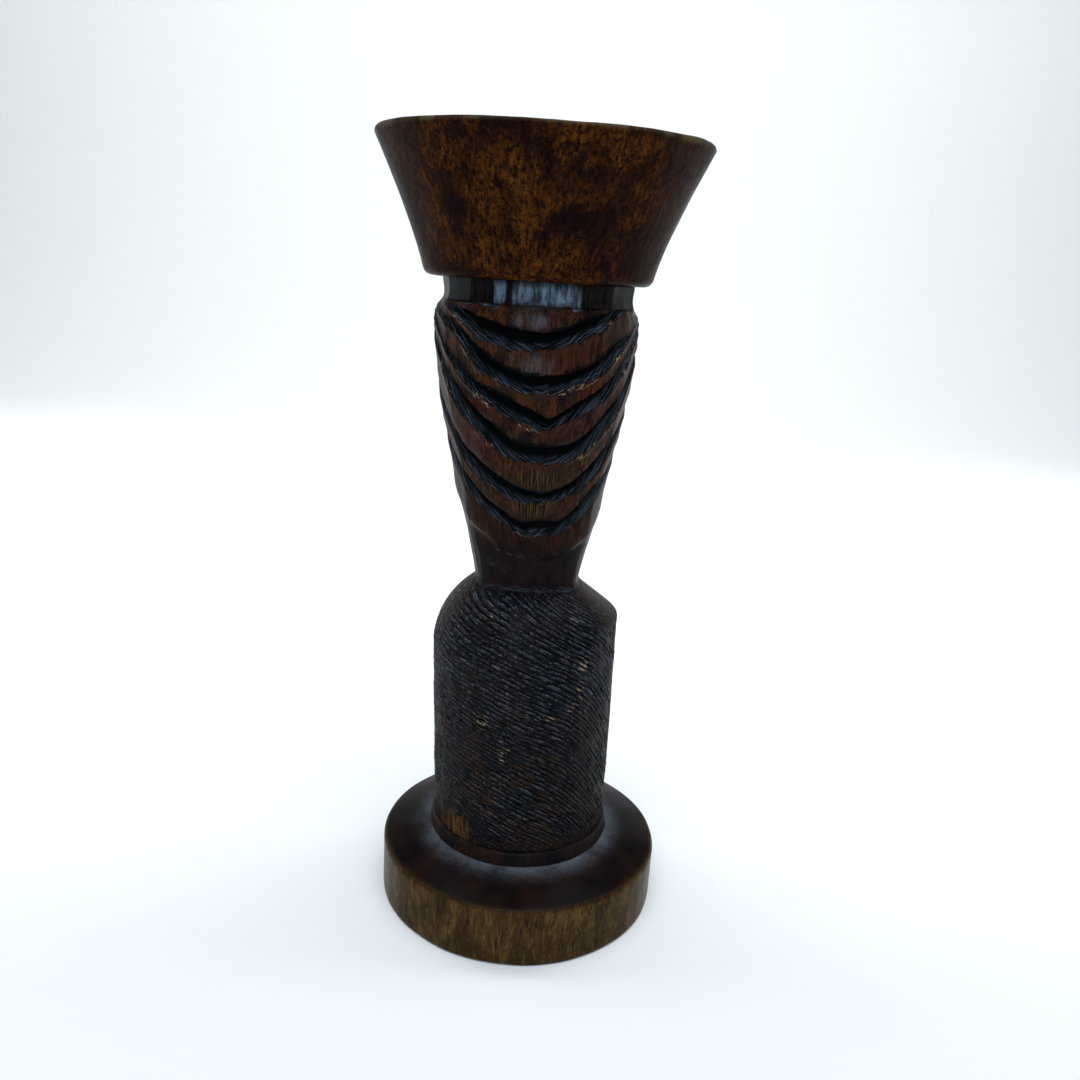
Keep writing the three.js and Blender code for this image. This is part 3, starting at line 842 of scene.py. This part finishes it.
# Heights in mm above the column's foot, every 20 degrees across the front from the left side to the
# right side. The back is carved to the same lines. Each groove runs from a lip down to an edge.
APRON = (26.2, 20.9, 16.7, 12.9, 10.1, 9.3, 10.1, 13.1, 16.1, 19.7)
GROOVES = (
    {
        "lip": (45.7, 36.3, 29.1, 23.9, 19.7, 20.1, 20.3, 27.7, 33.4, 41.2),
        "edge": (41.7, 32.2, 24.9, 20.2, 15.9, 15.9, 17.0, 21.1, 28.7, 37.2),
        "depth": 2.0, "reach": 115, "crisp": 0.3,
    },
    {
        "lip": (57.2, 47.1, 37.7, 33.1, 29.4, 28.0, 30.4, 36.6, 44.1, 52.2),
        "edge": (53.7, 43.5, 33.5, 28.7, 25.7, 25.4, 27.2, 31.2, 39.7, 48.7),
        "depth": 2.4, "reach": 115, "crisp": 0.2,
    },
    {
        "lip": (68.2, 60.9, 52.4, 45.8, 40.4, 39.6, 41.1, 48.4, 56.0, 64.2),
        "edge": (65.2, 57.2, 46.7, 40.4, 36.1, 35.5, 36.9, 42.3, 51.7, 60.7),
        "depth": 3.0, "reach": 112, "crisp": 0.1,
    },
    {
        "lip": (70.9, 66.5, 58.6, 53.1, 50.0, 46.7, 51.3, 57.0, 64.1, 69.5),
        "edge": (69.5, 64.7, 56.0, 49.9, 45.5, 43.9, 47.3, 52.3, 61.2, 67.2),
        "depth": 3.0, "reach": 105, "crisp": 0.85,
    },
    {
        "lip": (71.7, 69.7, 66.9, 60.9, 56.8, 56.5, 58.7, 64.2, 67.5, 70.7),
        "edge": (71.1, 68.3, 64.6, 56.5, 53.0, 52.3, 55.0, 59.7, 66.7, 70.1),
        "depth": 3.2, "reach": 80, "crisp": 0.1,
    },
    {
        "lip": (72.3, 71.9, 70.5, 68.7, 66.5, 66.3, 69.4, 71.2, 72.1, 72.5),
        "edge": (71.9, 71.3, 68.7, 63.7, 61.7, 62.4, 65.5, 69.7, 71.7, 72.1),
        "depth": 3.2, "reach": 66, "crisp": 0.1,
    },
)
COLUMN_HEIGHT = COLUMN_TOP - COLUMN_FOOT
COLUMN_GIRTH = FULL_TURN * 23.0
COLUMN_SIDES = 540
WAIST_ROWS = 26
STEP_ROWS = 3
SLOPE_ROWS = 12
WALL_ROWS = 4
BAND_ROWS = 7
NECK_ROWS = 12
WALL_DROP = 0.6
APRON_STEP = 1.5
NECK_FOOT = 71.2
BAND_FACES = (-180, -152, -128, -100, -80, -57, -33, -8, 14, 38, 61, 84, 106, 131, 155, 180)
NECK_FACES = (-180, -148, -121, -90, -62, -40, -23, -17, -13, 25, 47, 72, 100, 128, 156, 180)


def column_radius(angle, height):
    """Radius of the column in mm before it is carved. height is above its foot."""
    share = height / COLUMN_HEIGHT
    rise = np.sin(math.pi / 2 * np.clip(share / 0.89, 0, 1)) ** 1.25
    swell = 13.5 + 11.8 * rise
    flat = squarish(angle, 1.0, 0.74, 2.8) * swell
    swell = mix(flat, swell, ease(height, 4, 32))
    swell = swell + 1.3 * np.clip(1 - height / 1.5, 0, 1) ** 1.6  # torn fibre left round the foot
    return swell - 1.75 * ease(share, 0.885, 0.957) + 0.3 * ease(share, 0.965, 1.0)


def facet_in(angle, edges, radius):
    """How far flat faces between the given angles (degrees) lie inside the round, in mm."""
    across = np.degrees((angle + math.pi) % FULL_TURN - math.pi)
    inset = np.zeros(np.broadcast(angle, radius).shape)
    for low, high in zip(edges, edges[1:]):
        half = math.radians(high - low) / 2
        middle = math.radians(high + low) / 2
        here = (across >= low) & (across < high)
        flat = 1 - math.cos(half) / np.cos(np.clip(np.radians(across) - middle, -half, half))
        inset = np.where(here, flat * radius, inset)
    return inset


def from_middle(across):
    """How far round the column a place is from the middle of the bands, in mm."""
    bands_middle = 5
    return COLUMN_GIRTH * np.abs(across - bands_middle) / 360


def tongues(turn, across, number):
    """Ragged ends of knife strokes, 0 to 1: each runs down towards the middle and stops short."""
    place = from_middle(across) / 5.2 + 0.9 * waves(turn, turn * 0, 26, 1, 120 + number)
    size = np.random.default_rng(130 + number).uniform(0.15, 1.0, 64)
    return (1 - place % 1.0) ** 1.3 * size[np.floor(place).astype(int) % 64]


def column_knots(turn, across):
    """The column's carved lines from the foot up: kind, height, and number of rows from the line below."""
    apron = line_through(APRON, across) + 0.25 * waves(turn, turn * 0, 40, 1, 31)
    knots = [
        {"height": turn * 0, "kind": "foot"},
        {"height": apron - 0.6, "kind": "waist", "rows": WAIST_ROWS},
        {"height": apron, "kind": "apron", "rows": STEP_ROWS},
    ]
    for number, groove in enumerate(GROOVES):
        share = ease(groove["reach"] - np.abs(across), 0, 32)
        wander = 0.22 * waves(turn, turn * 0, 36, 1, 50 + number)
        ragged = 0.14 * waves(turn, turn * 0, 248, 1, 60 + number)
        lip = line_through(groove["lip"], across, groove["crisp"]) + wander + ragged
        torn = 0.30 * waves(turn, turn * 0, 90, 1, 70 + number) - 0.75 * tongues(turn, across, number)
        edge = line_through(groove["edge"], across, groove["crisp"] / 2) + torn * share
        edge = np.minimum(edge, lip - mix(0.35, 1.0, share))
        drop = mix(0.15, WALL_DROP, share)
        knots += [
            {"height": edge, "kind": "edge", "rows": BAND_ROWS, "groove": number},
            {"height": lip - drop, "kind": "floor", "rows": SLOPE_ROWS, "groove": number, "share": share},
            {"height": lip, "kind": "lip", "rows": WALL_ROWS, "groove": number},
        ]
    knots += [{"height": turn * 0 + COLUMN_HEIGHT, "kind": "top", "rows": NECK_ROWS}]
    least = 0.16
    for before, knot in zip(knots, knots[1:]):
        knot["height"] = np.maximum(knot["height"], before["height"] + least)
    return knots


def column_rows(turn, across):
    """Every row of the column from the foot up: heights, how far they are cut in, soot, nearness to a lip
    and to an edge, depth in the groove, and the way across the fibres."""
    knots = column_knots(turn, across)
    fibre_slant = 0.32 * from_middle(across)
    nothing = np.zeros(len(turn))
    table = []

    def add_row(height, inset=nothing, soot=nothing, lip=nothing, edge=nothing, deep=nothing, way=nothing):
        table.append([value + nothing for value in (height, inset, soot, lip, edge, deep, way)])

    add_row(knots[0]["height"])
    apron_share = ease(np.abs(across), 13, 27) * mix(1.0, 0.3, ease(np.abs(across), 42, 72))
    for before, knot, after in zip(knots, knots[1:], knots[2:] + [None]):
        kind, low, high = knot["kind"], before["height"], knot["height"]
        depth = GROOVES[knot["groove"]]["depth"] if "groove" in knot else 0
        offset = 30.0 * knot.get("groove", 7)
        for step in range(1, knot["rows"] + 1):
            t = step / knot["rows"]
            height = mix(low, high, t**1.2 if kind == "waist" else t)
            if kind == "apron":
                add_row(height, inset=-APRON_STEP * t * apron_share, edge=0.2 * apron_share * t**3)
            elif kind == "edge":  # band that hangs above the lip below it
                proud = APRON_STEP * apron_share * ease(low + 9 - height, 0, 9)
                inset = 0.20 * np.sin(math.pi * t) - (proud if before["kind"] == "apron" else 0)
                lip = np.exp(-(height - low) / 0.9)
                edge = np.exp(-(high - height) / 0.5)
                way = after["height"] - height + fibre_slant
                add_row(height, inset, lip=lip, edge=edge, way=way + offset)
            elif kind == "floor":  # slope that runs in under the band above
                share = knot["share"]
                way = high - height + fibre_slant
                tear = waves(turn, way, 64, 0.75, 90 + knot["groove"])
                tear = tear + 0.5 * waves(turn, way, 110, 0.45, 100 + knot["groove"])
                bed = depth * (0.10 * ease(t, 0, 0.1) + 0.90 * t**0.9)
                inset = share * (bed - 0.22 * tear * math.sin(math.pi * min(t, 0.9)))
                soot = np.clip(share * 3, 0, 1) * min(1, 0.45 + t * 2.2)
                edge = np.exp(-(height - low) / 0.5) * ease(high - low, 0.6, 1.2)
                add_row(height, inset, soot, edge=edge, deep=share * t, way=way + offset)
            elif kind == "lip":  # wall under the band's lip
                share = before["share"]
                soot = np.clip(share * 3, 0, 1) * (1 if step < knot["rows"] else 0.15)
                inset = share * depth * (1 - t**1.8)
                add_row(height, inset, soot, lip=t**4, deep=share * (1 - t**3), way=fibre_slant + offset)
            else:
                add_row(height, lip=np.exp(-(height - low) / 0.9) if kind == "top" else nothing)
    return (np.array(values) for values in zip(*table))


def carved_radius(angle, across, around, heights, insets):
    """Radius of the carved column: grooves, knife-planed flats, and the unevenness of hand work."""
    radius = column_radius(angle, heights) - insets
    # broad flats on the bands, and flat faces round the neck
    neck = ease(heights / COLUMN_HEIGHT, 0.915, 0.945)
    radius = radius - 0.5 * facet_in(angle, BAND_FACES, radius) * (1 - neck)
    radius = radius - 0.85 * facet_in(angle, NECK_FACES, radius) * neck
    radius = radius + 0.22 * waves(around, heights, 17, 8.0, 5) + 0.08 * waves(around, heights, 60, 3.0, 7)
    lean_back = window(across, -24, -22, 24, 27) * np.cos(angle).clip(0, 1)
    radius = radius - 0.22 * (heights - NECK_FOOT).clip(0, 8) * lean_back
    radius = radius - 0.03 * np.abs(waves(around, heights, 330, 14.0, 9))
    radius = radius + 0.45 * neck * np.sin(angle)
    return radius - 0.35 * near_foot(heights) * np.abs(waves(around, heights, 130, 0.5, 11))


def near_foot(heights):
    return np.clip(1 - heights / 1.6, 0, 1)


def column_wear_and_shine(around, heights, soots):
    """Where the column is combed, scraped and sooted, and where a sheen is painted on the band flats and the
    neck's front flats, each from 0 to 1.
    """
    degrees = np.degrees(around * FULL_TURN + math.pi) % 360 - 180
    level = COLUMN_FOOT + heights

    def spot(middle, height, width, tall):
        """1 in the middle of an oval place on the column, falling to 0 at its edge."""
        reach = ((degrees - middle) / width) ** 2 + ((level - height) / tall) ** 2
        return ease(1.4 - reach, 0, 1)

    def most(*places):
        return np.maximum.reduce(places)

    comb = most(spot(5, 122.3, 17, 2.6), spot(3, 115.2, 19, 3.4), 0.6 * spot(168, 120, 16, 3.0))
    scraped = most(
        0.6 * spot(-19, 101.4 - 0.07 * (degrees + 19), 19, 0.3),
        0.3 * spot(-36, 97.2 - 0.10 * (degrees + 36), 12, 0.7),
        0.45 * spot(-12, 151.0, 5, 0.5),
        0.5 * np.clip(near_foot(heights) * 1.5, 0, 1),
    )
    streaky = 0.6 + 0.4 * waves(around, heights, 75, 9.0, 35)
    on_bands = most(
        spot(-2, 159.6, 10, 2.2),
        0.7 * spot(2, 149.6, 10, 2.2),
        0.6 * spot(-30, 149.0, 6, 2.0),
        0.6 * spot(-30, 135.5, 7, 2.0),
    )
    neck_front = window(degrees, -14, -12, 24, 26) + window(degrees, -24, -23, -18, -17)
    neck_front = neck_front * window(heights, NECK_FOOT, 71.7, 75, 77.5)
    neck_sides = ease(heights, NECK_FOOT, 71.7) * ease(np.abs(degrees), 48, 60)
    # painted sheen: paler places that stand for reflections on the band flats and the neck's front flats
    painted_sheen = most(
        on_bands * streaky * (1 - soots.clip(0, 1)),
        np.clip(neck_front * (0.4 + 0.6 * streaky), 0, 1),
        0.05 * neck_sides,
    )
    sooty = 0.38 + 0.5 * waves(around, heights, 15, 7.0, 33)
    sooty = most(sooty, spot(-8, 149, 14, 3), spot(-22, 143, 16, 3))
    return comb, scraped, painted_sheen, sooty


def make_column():
    turn = np.arange(COLUMN_SIDES) / COLUMN_SIDES
    angle = turn * FULL_TURN
    across = np.degrees(np.arctan2(np.sin(angle), np.abs(np.cos(angle))))
    heights, insets, soots, lips, edges, deeps, across_way = column_rows(turn, across)
    piece, column, row = lay_grid("carved_column_cut", COLUMN_SIDES, len(heights))
    around = np.broadcast_to(turn, heights.shape)
    radius = carved_radius(angle, across, around, heights, insets)
    soots = np.maximum(soots, 0.97 * ease(heights / COLUMN_HEIGHT, 0.926, 0.934))
    level = COLUMN_FOOT + heights
    x, y = LEAN * level + radius * np.sin(angle), -radius * np.cos(angle)
    close_ends(piece, row, np.stack([x, y, level], 2)[row, column])
    write_marks(piece, "carving", [v[row, column] for v in (soots, lips, edges, deeps)])
    write_marks(piece, "wear_and_shine", [v[row, column] for v in column_wear_and_shine(around, heights, soots)])
    ways = np.stack([COLUMN_GIRTH * around, across_way, heights], 2)
    write_way(piece, "knife_way", ways[row, column])
    finish_piece(piece, carved_wood(), "carved_column")


# ---------------- headpiece

# middle of each place in degrees and mm, half width and half height
GOLD_PLACES = (
    (-33, 194, 13, 8), (-18, 187, 16, 9), (-2, 183, 12, 8), (-8, 173, 22, 6),
    (18, 171, 14, 4), (20, 195, 22, 5), (40, 186, 9, 6), (-46, 176, 10, 8),
    (160, 185, 30, 12), (-140, 178, 24, 8), (100, 190, 18, 8),
)
PURPLE_PLACES = (
    (14, 179.5, 12, 3.5), (7, 190, 9, 5), (30, 190, 9, 4), (-33, 182, 9, 4.5),
    (-14, 196, 7, 3), (-12, 178, 4, 4), (38, 178, 8, 4), (-60, 185, 8, 9),
    (62, 183, 7, 9), (130, 178, 14, 6), (-110, 188, 16, 7),
)

def write_figure(piece):
    """Marks where the burl shows gold and where it turns purple-black, on the headpiece."""
    points = read_points(piece) / MM
    across = np.degrees(np.arctan2(points[:, 0] - HEAD_CENTRE, -points[:, 1]))
    shares = []
    for places in (GOLD_PLACES, PURPLE_PLACES):
        share = np.zeros(len(points))
        for middle, height, width, tall in places:
            gap = (across - middle + 180) % 360 - 180
            reach = (gap / width) ** 2 + ((points[:, 2] - height) / tall) ** 2
            share = np.maximum(share, ease(1.5 - reach, 0, 1.3))
        shares.append(share)
    write_marks(piece, "figure", shares)


def make_head():
    foot_radius = 27.7
    saddle = 1.1  # how far the rim dips at the front and back
    dish = 3.5
    lip = 1.0  # rounding of the rim
    lean_out = 15
    profile = []
    for share in np.linspace(0.055, 1, 36):
        radius = mix(foot_radius, RIM_RADIUS - 0.15, share**1.2)
        profile.append((radius, mix(HEAD_FOOT, RIM_HEIGHT - lip, share)))
    start_radius, start = profile[0]
    rounding = (start - HEAD_FOOT) / (1 - math.sin(math.radians(lean_out)))
    inner = start_radius - rounding * math.cos(math.radians(lean_out))
    outline = [(inner - 4, HEAD_FOOT)] + arc(inner, HEAD_FOOT + rounding, rounding, -90, -lean_out, 9)[:-1]
    outline += profile
    outline += arc(RIM_RADIUS - 1.15, RIM_HEIGHT - lip, lip, 20, 90, 6)
    for share in np.linspace(0.97, 0.06, 22):
        outline.append(((RIM_RADIUS - 1.3) * share, RIM_HEIGHT - dish * (1 - share**2)))
    piece = turn_on_lathe("headpiece_turned", outline, HEAD_CENTRE, 300)
    points = read_points(piece) / MM
    lift = (points[:, 2] - HEAD_FOOT) / (RIM_HEIGHT - HEAD_FOOT)
    points[:, 2] -= saddle * (points[:, 1] / RIM_RADIUS) ** 2 * lift**2
    write_points(piece, points * MM)
    roughen(piece, "head_unevenness", 16, 0.45)
    roughen(piece, "head_tool_marks", 4, 0.08)
    write_figure(piece)
    finish_piece(piece, polished_figured_wood(), "headpiece")


bpy.context.scene.view_settings.view_transform = "Standard"
place_camera()
lay_floor()
light_studio()
make_base()
make_ring()
make_block()
make_column()
make_head()
